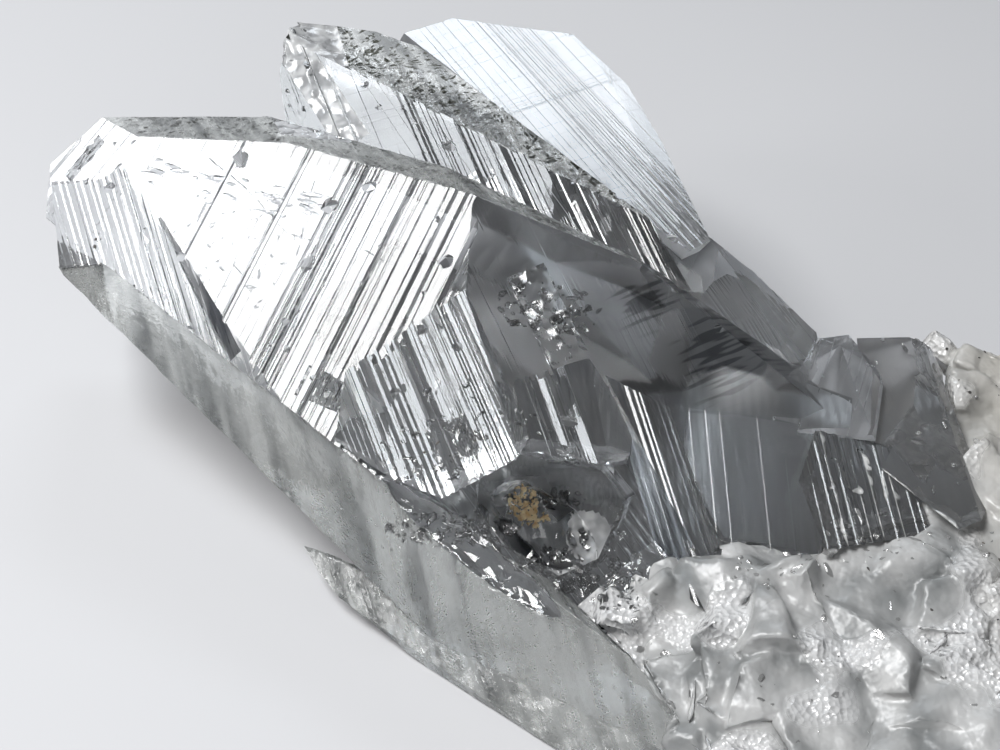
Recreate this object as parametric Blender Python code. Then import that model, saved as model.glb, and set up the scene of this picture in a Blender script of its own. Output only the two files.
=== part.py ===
"""Quartz cluster: clear prismatic crystals grown side by side on a milky quartz root.

One closed solid, metres, +Z up, standing on a flat sawn foot at Z = 0 with the origin in
the middle of the foot. The long crystals lie towards -X and +Y and rise off the root.
"""
import math
import random

import bmesh
import bpy
from mathutils import Matrix, Vector

MM = 0.001
SAWN_AT = 0.0            # height of the sawn foot
BLOCK = 70.0             # half side of the block that every crystal is cut from
RUBBLE_SEED = 4
LEDGE_WIDTH = 0.35       # growth ledges on the striated faces
LEDGE_DEPTH = 0.18

# Each crystal has a heart (x, y, z) in mm and named faces. A face is (turn, lean, reach):
# the compass turn of the way it looks, its lean above the horizon, in degrees, and its
# distance from the heart in mm. Prism faces run along the length of a crystal, cap and
# brow faces close its end, and heel, toe and back faces bound it where it is grown in.
CRYSTALS = {
    "main": dict(heart=(-16.5, 19.5, 19.0), faces=dict(
        striated=(-108, 55, 10.2), smooth=(-80, 55, 14.2), flank=(-127, 34, 13.9),
        cap=(-158, 50, 18.5), brow_west=(97, 77, 12.5), brow_mid=(58, 71, 11.5),
        brow_east=(41, 62, 13.1), brow_heel=(10, 58, 20), crown_west=(131, 31, 24.7),
        crown_mid=(88, 35, 13.7), crown_east=(64, 28, 10.1), crown_heel=(55, 24, 10.9),
        end=(-177, -7, 27), seat=(-138, -34, 13.9), back=(72, -55, 8.8),
        heel=(-6, 17, 46.5), under=(-114, -60, 21.5))),
    "tip": dict(heart=(-42.0, 23.5, 20.5), faces=dict(
        flank=(-127, 34, 3.0), top=(81, 42, 3.3), side=(30, -1, 2.1), seat=(-12, -55, 3.0),
        under=(-49, -68, 2.8), end=(-176, -6, 1.2), back=(53, -34, 5.0))),
    "blade": dict(heart=(-19.0, 4.0, 5.5), faces=dict(
        frosted=(-125, 22, 6.5), end=(84, 40, 17.8), top=(30, 61, 8.8), heel=(36, 16, 8.5),
        toe=(-75, -52, 27), chin=(-160, -30, 8.5), under=(-150, -43, 1.0),
        back=(55, -22, 8.5))),
    "prow": dict(heart=(2.0, -16.0, -3.5), faces=dict(
        pitted=(-126, 44, 7.0), chamfer=(-130, -5, 5.3), top=(62, 23, 3.3),
        shoulder=(58, 22, 1.9), heel=(40, 17, 6.8), toe=(-55, -47, 13), under=(-141, -47, 2.1),
        jaw=(-154, -40, 5.8), nose=(-162, -33, 9.1), back=(54, -44, 8.0))),
    "rear": dict(heart=(-5.0, 35.0, 22.5), faces=dict(
        striated=(-112, 60, 9.5), dark=(-13, 82, 7.4), snapped=(166, -1, 17.3),
        crown_west=(87, 41, 12.1), crown_mid=(81, 40, 11.0), crown_east=(61, 33, 7.7),
        brow=(38, 18, 3.7), heel=(24, 5, 9.4), under=(-85, -77, 5.4),
        belly=(-143, -72, 1.7), chin=(177, -26, 12.1), end=(169, -12, 15.1),
        back=(68, -60, 4.4))),
    "sky": dict(heart=(6.5, 47.0, 18.5), faces=dict(
        broad=(-88, 81, 12.3), crown_west=(121, 43, 12.8), crown=(76, 47, 7.2),
        east_top=(29, 23, 4.4), east_mid=(17, 9, 4.5), east_low=(14, 5, 5.0),
        toe=(-51, -40, 21.9), heel=(-141, -29, 8.7), seat=(-142, -14, 11.3),
        back=(92, -81, 0.8))),
    "shoulder": dict(heart=(21.0, 15.5, 17.0), faces=dict(
        front=(-22, 64, 3.9), bevel=(-36, 67, 3.9), top=(73, 41, 5.5), east_top=(42, 31, 3.9),
        east_low=(35, 27, 4.0), toe=(3, -3, 8.7), under=(-84, -65, 7.7),
        seat=(-149, -20, 7.1), west=(168, -16, 5.5), back=(158, -64, 9.2))),
    "fan": dict(heart=(-5.5, 0.5, 14.5), faces=dict(
        striated=(-124, 61, 6.6), side=(-1, 41, 8.7), crown=(135, 32, 8.0),
        east=(21, 7, 5.5), toe=(-32, -47, 4.4), foot=(-40, -52, 3.9), under=(-120, -56, 4.5),
        chin=(-136, -51, 4.8), west=(173, -2, 8.1), back=(56, -61, 5.4))),
    "step": dict(heart=(5.5, 0.0, 17.0), faces=dict(
        striated=(-93, 74, 3.3), side=(-13, 51, 4.3), crown=(112, 37, 4.2), top=(62, 37, 5.2),
        east=(17, 7, 4.4), toe=(-11, -25, 6.4), under=(-107, -61, 3.3),
        chin=(-137, -54, 4.2), west=(166, -2, 3.7), back=(87, -74, 8.7))),
    "ridge": dict(heart=(14.5, -4.0, 11.5), faces=dict(
        smooth=(-62, 65, 5.0), flank=(-137, 31, 5.1), top=(59, 34, 6.7), east=(22, -10, 0.2),
        toe=(11, 1, 2.4), under=(-109, -58, 10.6), chin=(-171, -35, 2.5),
        west=(172, -18, 3.5))),
    "ridge_foot": dict(heart=(21.5, -11.5, 5.0), faces=dict(
        smooth=(-62, 65, 6.7), top=(62, 15, 1.3), lip=(97, 15, -0.1), east=(-24, -31, 2.9),
        toe=(-39, -42, 2.1), under=(-150, -49, 1.2), west=(169, -18, 2.2))),
    "well": dict(heart=(25.0, -0.5, 9.5), faces=dict(
        floor=(-78, 60, 6.8), top=(80, 39, 3.1), east_top=(23, 20, 3.1), east=(-6, -10, 3.8),
        under=(-113, -59, 5.1), chin=(-171, -35, 5.2), west=(163, -8, 6.3),
        back=(102, -60, 5.2))),
    "half": dict(heart=(32.5, -3.5, 9.5), faces=dict(
        striated=(-73, 74, 6.5), side=(-4, 45, 6.1), top=(76, 33, 2.9), east_top=(23, 16, 3.6),
        toe=(-31, -41, 4.1), under=(-78, -63, 1.4), chin=(180, -40, 1.4),
        west=(156, -14, 2.4))),
    "nub": dict(heart=(31.5, 7.0, 14.5), faces=dict(
        front=(-113, 77, 4.1), west=(174, 32, 4.2), east=(8, 52, 3.9), west_top=(145, 1, 2.2),
        top=(97, 33, 2.7), east_top=(26, 19, 2.2), toe=(-9, -21, 2.4), under=(-98, -69, 2.4),
        chin=(172, -34, 2.4))),
    "point": dict(heart=(39.5, 4.5, 11.0), faces=dict(
        front=(-99, 78, 6.7), side=(-6, 44, 4.6), top=(91, 35, 6.9), east_top=(59, 35, 5.8),
        east=(8, 5, 1.3), toe=(-57, -58, 5.3), under=(-153, -61, 1.6), west=(169, -34, 1.7))),
    "knob": dict(heart=(47.5, 2.5, 10.5), faces=dict(
        front=(-104, 80, 4.4), west=(145, -5, 7.1), top=(89, 35, 8.7), east_top=(49, 33, 6.0),
        east_mid=(35, 28, 4.8), east=(2, 2, 3.9), toe=(-67, -61, 4.9), under=(-177, -49, 2.4),
        chin=(167, -35, 2.9))),
    "root": dict(heart=(32.5, -13.5, -0.5), faces=dict(
        top=(-88, 76, 13.0), west=(142, 5, 4.6), north_west=(111, 26, 6.6),
        north=(96, 32, 9.1), east=(5, 12, 22.3), east_low=(-17, -10, 20.2),
        corner=(-50, -37, 15.8), south=(-90, -51, 12.5), toe=(-169, -38, 5.0),
        back=(92, -76, 7.0))),
    "root_front": dict(heart=(27.0, -24.0, 2.0), faces=dict(
        top=(-130, 76, 7.3), north=(99, 28, 6.3), east=(48, 28, 9.6), corner=(-19, -15, 13.7),
        south=(-86, -51, 7.8), toe=(-147, -46, 6.5), west=(-161, -39, 7.5),
        back=(50, -76, 6.7))),
    "trough": dict(heart=(5.5, -6.5, -1.5), faces=dict(
        top=(-110, 69, 12.6), crown=(105, 58, 14.4), east_top=(25, 43, 13.8),
        east=(15, 36, 14.7), toe=(-44, -15, 19.7), south=(-131, -26, 5.2),
        west=(166, 34, 19.8))),
    "wedge": dict(heart=(13.5, -9.5, 4.5), faces=dict(
        front=(-97, 62, 6.7), side=(-8, 47, 4.8), top=(67, 35, 4.8), east=(25, 14, 2.0),
        toe=(-52, -47, 5.8), under=(-110, -55, 4.1), chin=(-163, -36, 3.3),
        west=(165, -5, 3.1))),
}

# The hollow between the blade and the crystals behind it, cut out the same way.
HOLLOW = dict(heart=(4.5, -11.0, 14.0), faces=dict(
    floor=(112, -56, 3.8), floor_west=(165, -50, 5.0), north_west=(135, 44, 5.3),
    north=(72, 52, 3.9), north_east=(25, 35, 5.1), east=(-22, -12, 5.2),
    south_east=(-60, -36, 5.4), south=(-127, -36, 4.7), south_west=(-150, -23, 5.1),
    west=(180, 7, 6.4), mouth=(-90, 38, 7.0)))
SCOOP = dict(middle=(-2.9, -13.9, 11.8), radii=(11.5, 2.1, 2.1), turn=-39.5, lean=-11.3)

# Striations: crystal, face, (turn, lean) of the way the ledges run, and their places in mm
# across the face, measured from below the heart.
LEDGES = (
    ("main", "striated", (59.4, 34.1),
     (8.7, 2.3, -2.1, -3.2, -4.6, -6.6, -8.3, -10.5, -12.0, -14.2, -15.7)),
    ("main", "flank", (112.9, 36.8), (10.3, 9.0, 7.6, 6.1)),
    ("rear", "striated", (121.7, 19.2), (4.8, 3.8, 3.1, 2.2, 1.2, -0.2, -2.0, -4.0)),
    ("fan", "striated", (111.6, 17.8), (4.2, 2.6, 1.6, 0.7, -0.3, -2.3, -4.8)),
    ("step", "striated", (106.0, 15.1), (3.3, 2.4, 1.6, 0.7)),
    ("half", "striated", (96.1, 16.2), (4.8, 3.8, 2.8, 1.5, -0.3)),
)

# Broken quartz on the root and in the trough: middle of the patch, half sizes, the slope of
# the bed (rise per mm along x and y), number of lumps, smallest and largest half size.
RUBBLE = (
    ((29.0, -21.0, 11.3), (11.0, 6.0), (0.0, 0.25), 26, 2.0, 4.6),
    ((43.0, -15.0, 12.6), (7.0, 8.5), (0.0, 0.25), 22, 2.0, 4.4),
    ((31.0, -33.0, 8.2), (12.0, 5.5), (0.06, 0.24), 16, 2.2, 4.6),
    ((20.0, -26.0, 8.2), (4.5, 4.5), (0.16, 0.19), 12, 1.4, 3.0),
    ((47.0, 3.0, 15.0), (5.5, 7.0), (0.0, 0.15), 14, 1.6, 3.4),
    ((-5.5, -6.0, 11.4), (4.5, 1.8), (0.13, 0.36), 9, 0.8, 1.6),
    ((11.5, -17.0, 9.9), (4.5, 2.5), (0.13, 0.36), 10, 0.8, 2.0),
)


def facing(turn, lean):
    t, n = math.radians(turn), math.radians(lean)
    return Vector((math.cos(t) * math.cos(n), math.sin(t) * math.cos(n), math.sin(n)))


def cut(bm, point, normal):
    """Takes off all that lies beyond a plane and closes the cut."""
    geom = bm.verts[:] + bm.edges[:] + bm.faces[:]
    done = bmesh.ops.bisect_plane(bm, geom=geom, dist=1e-7, plane_co=point, plane_no=normal,
                                  clear_outer=True)
    rim = [e for e in done["geom_cut"] if isinstance(e, bmesh.types.BMEdge)]
    if rim:
        bmesh.ops.edgeloop_fill(bm, edges=rim)


def finish(bm, name, home):
    bmesh.ops.remove_doubles(bm, verts=bm.verts, dist=0.02)
    bmesh.ops.dissolve_degenerate(bm, edges=bm.edges, dist=0.02)
    bmesh.ops.recalc_face_normals(bm, faces=bm.faces)
    mesh = bpy.data.meshes.new(name)
    bm.to_mesh(mesh)
    bm.free()
    obj = bpy.data.objects.new(name, mesh)
    home.objects.link(obj)
    return obj


def crystal(name, heart, faces, home):
    bm = bmesh.new()
    middle = Vector(heart)
    bmesh.ops.create_cube(bm, size=2 * BLOCK, matrix=Matrix.Translation(middle))
    for turn, lean, reach in faces.values():
        normal = facing(turn, lean)
        cut(bm, middle + normal * reach, normal)
    return finish(bm, name, home)


def prism(name, middle, turn, rise, roll, radius, half, home):
    """A six-sided crystal with a six-faced point on its far end and a flat near end."""
    bm = bmesh.new()
    bmesh.ops.create_cone(bm, cap_ends=True, segments=6, radius1=radius, radius2=radius,
                          depth=2 * half)
    for k in range(6):
        tilt = math.radians(60 * k)
        slope = math.radians(38.2)
        normal = Vector((math.cos(tilt) * math.cos(slope), math.sin(tilt) * math.cos(slope),
                         math.sin(slope)))
        reach = half - radius * (0.25 if k % 2 else 0.0)
        cut(bm, Vector((0, 0, reach)), normal)
    axis = facing(turn, rise)
    aim = axis.to_track_quat("Z", "Y").to_matrix().to_4x4()
    place = Matrix.Translation(Vector(middle)) @ aim @ Matrix.Rotation(math.radians(roll), 4, "Z")
    bmesh.ops.transform(bm, matrix=place, verts=bm.verts)
    return finish(bm, name, home)


def lump(name, rng, middle, half, home):
    """A broken bit of quartz: a block with a few faces knocked off it."""
    bm = bmesh.new()
    turned = Matrix.Rotation(rng.uniform(0, 6.28), 4, "Z") @ Matrix.Rotation(
        rng.uniform(-0.6, 0.6), 4, "X") @ Matrix.Rotation(rng.uniform(-0.6, 0.6), 4, "Y")
    shape = Matrix.Diagonal((rng.uniform(0.8, 1.5), rng.uniform(0.6, 1.0), 1.0, 1.0))
    bmesh.ops.create_cube(bm, size=2 * half, matrix=turned @ shape)
    for _ in range(5):
        normal = facing(rng.uniform(0, 360), rng.uniform(15, 80))
        cut(bm, normal * half * rng.uniform(0.55, 0.95), normal)
    bmesh.ops.translate(bm, vec=Vector(middle), verts=bm.verts)
    return finish(bm, name, home)


def combine(target, other, operation):
    mod = target.modifiers.new(operation.lower(), "BOOLEAN")
    mod.operation = operation
    mod.solver = "EXACT"
    mod.object = other
    bpy.context.view_layer.objects.active = target
    bpy.ops.object.modifier_apply(modifier=mod.name)


def keep_outside(obj):
    """Fills the pockets left shut between crystals, by dropping every inner surface."""
    bm = bmesh.new()
    bm.from_mesh(obj.data)
    left, shells = set(bm.faces), []
    while left:
        shell, reached = set(), [left.pop()]
        while reached:
            face = reached.pop()
            shell.add(face)
            for edge in (e for e in face.edges if len(e.link_faces) == 2):
                for other in edge.link_faces:
                    if other in left:
                        left.remove(other)
                        reached.append(other)
        shells.append(shell)
    shells.sort(key=lambda shell: sum(face.calc_area() for face in shell))
    inner = [face for shell in shells[:-1] for face in shell]
    bmesh.ops.delete(bm, geom=inner, context="FACES")
    bm.to_mesh(obj.data)
    bm.free()


def join(objects):
    bpy.ops.object.select_all(action="DESELECT")
    for obj in objects:
        obj.select_set(True)
    bpy.context.view_layer.objects.active = objects[0]
    if len(objects) > 1:
        bpy.ops.object.join()
    return bpy.context.view_layer.objects.active


def ledge_cutter(name, heart, face, run, places, home):
    """Thin bars laid along the striations of one face, half sunk in it."""
    normal = facing(*face[:2])
    along = facing(*run)
    along = (along - normal * along.dot(normal)).normalized()
    across = normal.cross(along)
    frame = Matrix((along, across, normal)).transposed().to_4x4()
    bars = []
    for number, place in enumerate(places):
        bm = bmesh.new()
        width = LEDGE_WIDTH * (1.0 + 0.5 * (number % 3))
        size = Matrix.Diagonal((2 * BLOCK, width, 2 * LEDGE_DEPTH, 1.0))
        middle = Vector(heart) + normal * face[2] + across * place
        bmesh.ops.create_cube(bm, size=1.0, matrix=Matrix.Translation(middle) @ frame @ size)
        bars.append(finish(bm, name, home))
    return join(bars)


def main():
    for obj in list(bpy.data.objects):
        bpy.data.objects.remove(obj, do_unlink=True)
    scene = bpy.context.scene
    home = bpy.data.collections.new("quartz_cluster")
    scene.collection.children.link(home)
    tools = bpy.data.collections.new("cutters")
    scene.collection.children.link(tools)

    pieces = {name: crystal(name, spec["heart"], spec["faces"], home)
              for name, spec in CRYSTALS.items()}
    for name, face, run, places in LEDGES:
        spec = CRYSTALS[name]
        cutter = ledge_cutter("ledges", spec["heart"], spec["faces"][face], run, places, tools)
        combine(pieces[name], cutter, "DIFFERENCE")
        bpy.data.objects.remove(cutter, do_unlink=True)

    # crystals under and behind the long ones, which carry them
    pieces["keel"] = prism("keel", (3, 11, 5.5), 139, 3, 12, 9.0, 29, home)
    pieces["stern"] = prism("stern", (26, 8, 5.0), 118, 4, 25, 8.0, 22, home)
    pieces["stub"] = prism("stub", (38, 2, 3.0), 62, 5, 5, 7.0, 17, home)
    pieces["spur"] = prism("spur", (12, 20, 12.0), 128, 9, 30, 5.5, 24, home)

    # milky root under all of them
    bm = bmesh.new()
    bmesh.ops.create_icosphere(bm, subdivisions=2, radius=1.0)
    rng = random.Random(RUBBLE_SEED)
    for vert in bm.verts:
        vert.co *= rng.uniform(0.92, 1.06)
    bmesh.ops.scale(bm, vec=(30, 24, 11), verts=bm.verts)
    bmesh.ops.translate(bm, vec=(22, -3, 0), verts=bm.verts)
    pieces["milky"] = finish(bm, "milky", home)

    for middle, half, slope, count, small, large in RUBBLE:
        for _ in range(count):
            dx, dy = rng.uniform(-half[0], half[0]), rng.uniform(-half[1], half[1])
            size = rng.uniform(small, large)
            height = middle[2] + slope[0] * dx + slope[1] * dy - size * rng.uniform(0.5, 0.85)
            at = (middle[0] + dx, middle[1] + dy, height)
            pieces["lump_%d" % len(pieces)] = lump("lump", rng, at, size, home)

    whole = pieces.pop("main")
    for other in pieces.values():
        combine(whole, other, "UNION")
        bpy.data.objects.remove(other, do_unlink=True)

    # the hollow beside the blade, and the scoop along the blade's top edge
    combine(whole, crystal("hollow", HOLLOW["heart"], HOLLOW["faces"], tools), "DIFFERENCE")
    bm = bmesh.new()
    bmesh.ops.create_icosphere(bm, subdivisions=2, radius=1.0)
    bmesh.ops.scale(bm, vec=SCOOP["radii"], verts=bm.verts)
    aim = facing(SCOOP["turn"], SCOOP["lean"]).to_track_quat("X", "Z").to_matrix().to_4x4()
    bmesh.ops.transform(bm, matrix=Matrix.Translation(SCOOP["middle"]) @ aim, verts=bm.verts)
    combine(whole, finish(bm, "scoop", tools), "DIFFERENCE")

    # sawn flat underneath
    bm = bmesh.new()
    bmesh.ops.create_cube(bm, size=4 * BLOCK,
                          matrix=Matrix.Translation((0, 0, SAWN_AT - 2 * BLOCK)))
    saw = finish(bm, "saw", tools)
    combine(whole, saw, "DIFFERENCE")
    bpy.data.objects.remove(saw, do_unlink=True)
    keep_outside(whole)

    xs = [v.co.x for v in whole.data.vertices]
    ys = [v.co.y for v in whole.data.vertices]
    middle = Vector(((min(xs) + max(xs)) / 2, (min(ys) + max(ys)) / 2, SAWN_AT))
    whole.data.transform(Matrix.Scale(MM, 4) @ Matrix.Translation(-middle))
    whole.name = "quartz_cluster"
    whole.data.name = "quartz_cluster"

    quartz = bpy.data.materials.new("clear_quartz")
    quartz.use_nodes = True
    shader = quartz.node_tree.nodes["Principled BSDF"]
    shader.inputs["Base Color"].default_value = (0.93, 0.94, 0.95, 1)
    shader.inputs["Roughness"].default_value = 0.06
    shader.inputs["IOR"].default_value = 1.544
    shader.inputs["Transmission Weight"].default_value = 1.0
    whole.data.materials.append(quartz)

    for obj in list(tools.objects):
        bpy.data.objects.remove(obj, do_unlink=True)


main()
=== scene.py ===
import math
import random

import bmesh
import bpy
import numpy as np
from mathutils import Matrix, Vector, noise


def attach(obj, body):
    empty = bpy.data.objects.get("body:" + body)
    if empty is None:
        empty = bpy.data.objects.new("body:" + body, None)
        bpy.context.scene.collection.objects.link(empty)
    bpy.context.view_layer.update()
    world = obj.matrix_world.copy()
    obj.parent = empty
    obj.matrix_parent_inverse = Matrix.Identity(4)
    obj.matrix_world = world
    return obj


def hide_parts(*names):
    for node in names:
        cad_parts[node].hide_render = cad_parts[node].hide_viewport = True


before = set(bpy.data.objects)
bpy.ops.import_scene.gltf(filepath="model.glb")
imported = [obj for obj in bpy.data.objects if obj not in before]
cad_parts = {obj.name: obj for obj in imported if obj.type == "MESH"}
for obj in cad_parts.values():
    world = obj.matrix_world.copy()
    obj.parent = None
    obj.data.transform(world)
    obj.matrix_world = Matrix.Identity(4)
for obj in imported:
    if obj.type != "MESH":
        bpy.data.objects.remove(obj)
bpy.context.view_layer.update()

bpy.ops.object.select_all(action="DESELECT")

MM = 0.001
HOME = Vector((5.0712, 8.3051, 0.0))   # middle of the foot in the drawing that gives each heart


# ---------------------------------------------------------------- facets of the crystals
# name: heart of its crystal, (turn, lean, reach) of the face, (turn, lean) of the growth
# lines, and bands across it as (from, to, gap, step, riser width) in mm, measured from
# below the heart.
WHOLE = 60
BEVEL = (-133.9, 24.7, 14.63)   # the narrow sunk face west of the main striated one
FACETS = {
    "main_striated": ((-16.5, 19.5, 19.0), (-108, 55, 10.2), (59.4, 34.1), (
        (24, 9.7, 2.2, 0.020, 0.07), (9.7, 9.0, 0.30, 0.05, 0.10), (9.0, 3.0, 1.4, 0.02, 0.07),
        (3.0, 2.2, 0.32, 0.05, 0.10), (2.2, -1.6, 1.1, 0.025, 0.07),
        (-1.6, -2.5, 0.32, 0.07, 0.13), (-2.5, -3.2, 0.30, 0.13, 0.24),
        (-3.2, -5.2, 0.34, 0.06, 0.11), (-5.2, -8.0, 0.9, 0.03, 0.08),
        (-8.0, -9.0, 0.32, 0.05, 0.10), (-9.0, -10.4, 0.9, 0.03, 0.08),
        (-10.4, -17.5, 0.95, 0.12, 0.50))),
    "main_smooth": ((-16.5, 19.5, 19.0), (-80, 55, 14.2), (118.0, 22.0), (
        (14, -14, 3.2, 0.008, 0.08),)),
    "main_flank": ((-16.5, 19.5, 19.0), (-127, 34, 13.9), (112.9, 36.8), (
        (32, 17, 0.40, 0.08, 0.15), (17, 11, 0.38, 0.09, 0.15), (11, 5.6, 0.34, 0.08, 0.14),
        (5.6, -20, 0.7, 0.04, 0.10))),
    "main_bevel": ((-16.5, 19.5, 19.0), BEVEL, (112.9, 36.8), (
        (WHOLE, -WHOLE, 0.30, 0.05, 0.09),)),
    "main_cap": ((-16.5, 19.5, 19.0), (-158, 50, 18.5), (30.0, 30.0), (
        (WHOLE, -WHOLE, 0.9, 0.05, 0.12),)),
    "rear_striated": ((-5.0, 35.0, 22.5), (-112, 60, 9.5), (112.5, 22.4), (
        (16, 3.6, 2.4, 0.008, 0.08), (3.6, 2.2, 0.42, 0.10, 0.22), (2.2, -0.6, 0.75, 0.04, 0.12),
        (-0.6, -1.6, 0.7, 0.20, 0.50), (-1.6, -2.2, 0.3, 0.05, 0.10),
        (-2.2, -4.0, 0.75, 0.20, 0.50), (-4.0, -6.6, 0.6, 0.05, 0.14),
        (-6.6, -8.4, 0.6, 0.16, 0.40), (-8.4, -16, 0.36, 0.05, 0.11))),
    "sky_broad": ((6.5, 47.0, 18.5), (-88, 81, 12.3), (118.7, 3.1), (
        (14, 7.6, 0.7, 0.04, 0.09), (7.6, 3.0, 0.34, 0.05, 0.12), (3.0, -14, 0.95, 0.03, 0.08))),
    "fan_striated": ((-5.5, 0.5, 14.5), (-124, 61, 6.6), (111.6, 17.8), (
        (12, 5, 0.6, 0.04, 0.10), (5, 0.2, 0.75, 0.11, 0.36), (0.2, -3.4, 1.1, 0.02, 0.10),
        (-3.4, -6, 0.40, 0.08, 0.15), (-6, -12, 0.5, 0.05, 0.10))),
    "step_striated": ((5.5, 0.0, 17.0), (-93, 74, 3.3), (106.0, 15.1), (
        (9, 6.4, 0.6, 0.04, 0.12), (6.4, 0.4, 0.9, 0.17, 0.50), (0.4, -8, 1.4, 0.02, 0.08))),
    "ridge_smooth": ((14.5, -4.0, 11.5), (-62, 65, 5.0), (106.1, 24.7), (
        (10, 4.1, 0.8, 0.02, 0.08), (4.1, 2.1, 0.40, 0.12, 0.20), (2.1, 0.3, 0.7, 0.03, 0.08),
        (0.3, -1.5, 0.40, 0.13, 0.22), (-1.5, -10, 0.8, 0.03, 0.08))),
    "well_floor": ((25.0, -0.5, 9.5), (-78, 60, 6.8), (92.9, 29.7), (
        (10, 5, 0.6, 0.03, 0.08), (5, -10, 1.6, 0.018, 0.07))),
    "half_striated": ((32.5, -3.5, 9.5), (-73, 74, 6.5), (96.1, 16.2), (
        (12, 6, 0.5, 0.03, 0.08), (6, 2.2, 0.36, 0.08, 0.14), (2.2, -2.2, 0.45, 0.06, 0.12),
        (-2.2, -10, 0.6, 0.03, 0.08))),
    "nub_front": ((31.5, 7.0, 14.5), (-113, 77, 4.1), (70.0, 12.0), (
        (6, -6, 0.9, 0.03, 0.08),)),
    "trough_floor": ((-16.5, 19.5, 19.0), (-80, 55, 14.2), (129.5, 20.1), (
        (WHOLE, -WHOLE, 0.42, 0.05, 0.10),)),
    "shoulder_front": ((21.0, 15.5, 17.0), (-22, 64, 3.9), (130.0, 8.0), (
        (9, -9, 1.1, 0.02, 0.08),)),
}
# the faces behind and below: crystal's heart, the way it points, its faces and line spacing
MAIN_HEART, MAIN_AXIS = (-16.5, 19.5, 19.0), (147, 20)
REAR_HEART, REAR_AXIS = (-5.0, 35.0, 22.5), (125, 19)
SKY_HEART, SKY_AXIS = (6.5, 47.0, 18.5), (118, 12)
HIDDEN_FACES = (
    (MAIN_HEART, MAIN_AXIS, ((72, -55, 8.8), (64, 28, 10.1), (88, 35, 13.7), (55, 24, 10.9),
                             (131, 31, 24.7), (-138, -34, 13.9)), 1.8),
    (REAR_HEART, REAR_AXIS, ((38, 18, 3.7), (-143, -72, 1.7), (61, 33, 7.7),
                             (68, -60, 4.4)), 1.5),
    (SKY_HEART, SKY_AXIS, ((92, -81, 0.8), (76, 47, 7.2), (121, 43, 12.8), (29, 23, 4.4),
                           (17, 9, 4.5), (-141, -29, 8.7), (-142, -14, 11.3)), 1.7),
    ((21.0, 15.5, 17.0), (125, 20), ((42, 31, 3.9), (35, 27, 4.0)), 1.5),
    ((-19.0, 4.0, 5.5), (140, 15), ((55, -22, 8.5), (84, 40, 17.8)), 1.6),
)


def facing(turn, lean):
    t, n = math.radians(turn), math.radians(lean)
    return Vector((math.cos(t) * math.cos(n), math.sin(t) * math.cos(n), math.sin(n)))


def spot(x, y, z):
    """A place in mm on the drawing, as metres in the frame of the part."""
    return (Vector((x, y, z)) - HOME) * MM


def girdle(face, axis):
    """The (turn, lean) of growth lines that run around a crystal on one of its faces."""
    way = facing(face[0], face[1]).cross(facing(*axis)).normalized()
    return math.degrees(math.atan2(way.y, way.x)), math.degrees(math.asin(way.z))


for heart, axis, faces, gap in HIDDEN_FACES:
    for face in faces:
        FACETS[f"hidden_{len(FACETS)}"] = (heart, face, girdle(face, axis), (
            (WHOLE, 4, gap, 0.03, 0.09), (4, 1.5, gap * 0.3, 0.05, 0.10),
            (1.5, -5, gap, 0.03, 0.09), (-5, -7, gap * 0.35, 0.05, 0.10),
            (-7, -WHOLE, gap, 0.03, 0.09)))

FARTHEST = 0.045      # a face this far from a heart belongs to another crystal
SAME_WAY = 0.9994     # cosine within which two faces point the same way
ROUND = 6.28          # about a full turn, in radians
LOWEST, HIGHEST = -0.24, 0.03   # how far growth strips may leave their face, in mm


class Facet:
    """A flat crystal face, the way its growth lines run and the way across them."""

    def __init__(self, heart, face, run):
        self.normal = facing(face[0], face[1])
        self.heart = spot(*heart)
        self.level = self.normal.dot(self.heart) + face[2] * MM
        along = facing(*run)
        self.along = (along - self.normal * along.dot(self.normal)).normalized()
        self.across = self.normal.cross(self.along)

    def place(self, point):
        """(across, along) in mm from below the heart."""
        away = point - self.heart
        return away.dot(self.across) / MM, away.dot(self.along) / MM

    def holds(self, poly_normal, point, slack=0.00026):
        return (poly_normal.dot(self.normal) > SAME_WAY
                and abs(self.normal.dot(point) - self.level) < slack
                and (point - self.heart).length < FARTHEST)


def plain(heart, face):
    """A face whose growth lines don't matter."""
    return Facet(heart, face, (0, 90))


def only(obj):
    bpy.ops.object.select_all(action="DESELECT")
    obj.select_set(True)
    bpy.context.view_layer.objects.active = obj


def apply_modifiers(obj):
    only(obj)
    for mod in list(obj.modifiers):
        bpy.ops.object.modifier_apply(modifier=mod.name)


# ---------------------------------------------------------------- the grown-together crystals
def loose_copy(node, name):
    obj = node.copy()
    obj.data = node.data.copy()
    obj.name = name
    obj.data.name = name
    for key in [k for k in obj.keys() if k.startswith("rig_")]:
        del obj[key]
    obj.parent = None
    obj.matrix_world = Matrix.Identity(4)
    bpy.context.scene.collection.objects.link(obj)
    obj.data.materials.clear()
    return obj


def merge_flat(obj):
    only(obj)
    bpy.ops.object.mode_set(mode="EDIT")
    bpy.ops.mesh.select_all(action="SELECT")
    bpy.ops.mesh.remove_doubles(threshold=1e-6)
    bpy.ops.mesh.dissolve_limited(angle_limit=math.radians(0.4))
    bpy.ops.object.mode_set(mode="OBJECT")


def slice_faces(bm, faces, at, way):
    """Cuts faces along a plane and gives the faces on both sides of it."""
    geom = set(faces)
    for face in faces:
        geom.update(face.edges)
        geom.update(face.verts)
    done = bmesh.ops.bisect_plane(bm, geom=list(geom), dist=1e-8, plane_co=at, plane_no=way)
    return [f for f in done["geom"] if isinstance(f, bmesh.types.BMFace)]


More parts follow.
